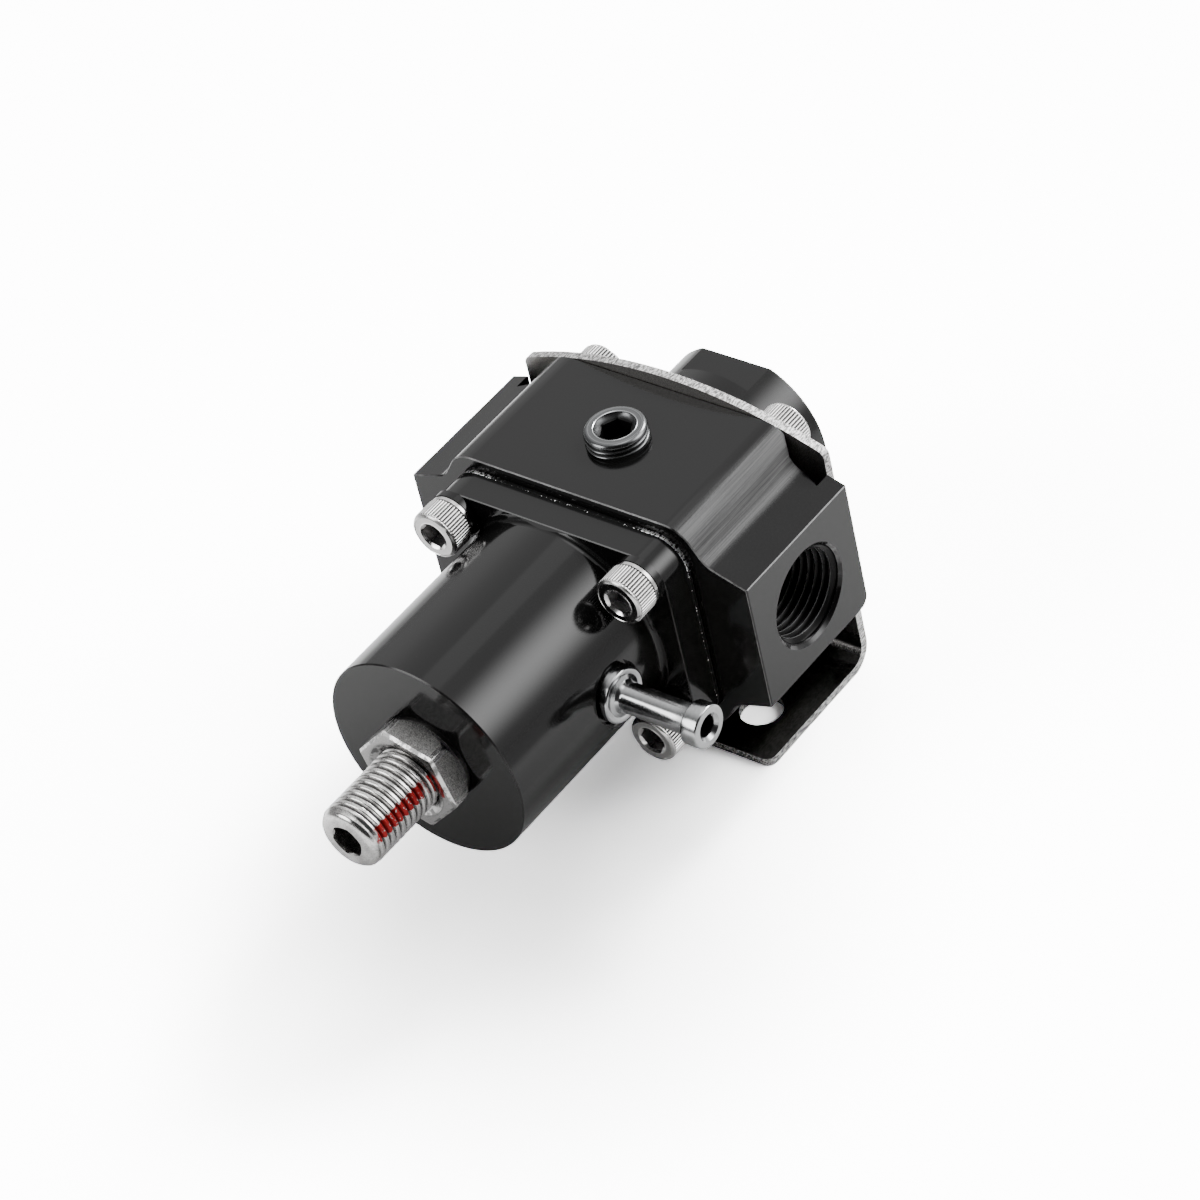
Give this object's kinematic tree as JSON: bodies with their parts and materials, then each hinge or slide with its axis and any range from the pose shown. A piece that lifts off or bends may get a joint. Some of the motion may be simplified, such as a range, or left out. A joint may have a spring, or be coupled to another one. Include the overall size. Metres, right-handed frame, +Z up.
{
  "type": "fuel pressure regulator",
  "caption": "Black bypass fuel pressure regulator: ported billet body, round spring cap with adjusting screw and hose barb, folded steel bracket and return port cap.",
  "frame": {"origin": "midway between the two foot holes, on the lower face of the bracket's foot", "axes": "-Y along the spring axis towards the adjusting screw, +X towards the side with the hose barb, +Z up"},
  "size_m": [0.0685, 0.1056, 0.0499],
  "materials": {
    "black_anodised": "glossy black anodised",
    "diaphragm_sheet": "coated fabric with a rough silvery cut edge",
    "bracket_steel": "polished sheet with granular cut edges",
    "plug_steel": "dark turned steel",
    "bright_zinc": "bright plated",
    "seal_rubber": "matt",
    "seat_brass": "turned",
    "spring_steel": "drawn wire",
    "plain_aluminium": "turned",
    "ball_steel": "polished",
    "stem_steel": "turned",
    "stainless": "turned stainless",
    "screw_steel": "bright stainless with knurled heads"
  },
  "bodies": {
    "housing": {"regulator_body": "black_anodised", "spring_cap": "black_anodised", "rear_cap": "black_anodised", "diaphragm": "diaphragm_sheet", "bracket": "bracket_steel", "gauge_plug": "plug_steel", "hose_barb": "bright_zinc", "rear_cap_seal": "seal_rubber", "seat_seal": "seal_rubber", "valve_seat": "seat_brass", "main_spring": "spring_steel", "cap_screw_1": "screw_steel", "bracket_screw_1": "screw_steel", "cap_washer_1": "black_anodised", "cap_screw_2": "screw_steel", "bracket_screw_2": "screw_steel", "cap_washer_2": "black_anodised", "cap_screw_3": "screw_steel", "bracket_screw_3": "screw_steel", "cap_washer_3": "black_anodised", "cap_screw_4": "screw_steel", "bracket_screw_4": "screw_steel", "cap_washer_4": "black_anodised"},
    "spring_seat": {"spring_button": "plain_aluminium", "thrust_ball": "ball_steel"},
    "adjuster": {"adjusting_screw": "stainless"},
    "nut_seal": {"thread_seal": "seal_rubber"},
    "locknut": {"jam_nut": "stainless"},
    "valve": {"spring_cup": "plain_aluminium", "diaphragm_plate": "plain_aluminium", "valve_stem": "stem_steel", "stem_nut": "stem_steel", "valve_ball": "ball_steel"}
  },
  "joints": [
    {"name": "adjuster_feed", "type": "slide", "parent": "housing", "child": "spring_seat", "axis": [0, 1, 0], "range_m": [-0.00254, 0.00762], "deforming": ["main_spring"]},
    {"name": "adjuster_turn", "type": "hinge", "parent": "spring_seat", "child": "adjuster", "pos_m": [0, -0.0547, 0.027], "axis": [0, 1, 0], "range_deg": [-720, 2160]},
    {"name": "nut_feed", "type": "slide", "parent": "housing", "child": "nut_seal", "axis": [0, 1, 0], "range_m": [-0.00254, 0]},
    {"name": "nut_turn", "type": "hinge", "parent": "nut_seal", "child": "locknut", "pos_m": [0, -0.054, 0.027], "axis": [0, 1, 0], "range_deg": [-720, 0]},
    {"name": "valve_lift", "type": "slide", "parent": "housing", "child": "valve", "axis": [0, -1, 0], "range_m": [0, 0.0012], "stiffness_N_per_m": 9000, "deforming": ["main_spring", "diaphragm"]}
  ],
  "couplings": [
    {"joint": "adjuster_turn", "follows": "adjuster_feed", "rad_per_m": 4947.4},
    {"joint": "nut_turn", "follows": "nut_feed", "rad_per_m": 4947.4}
  ]
}
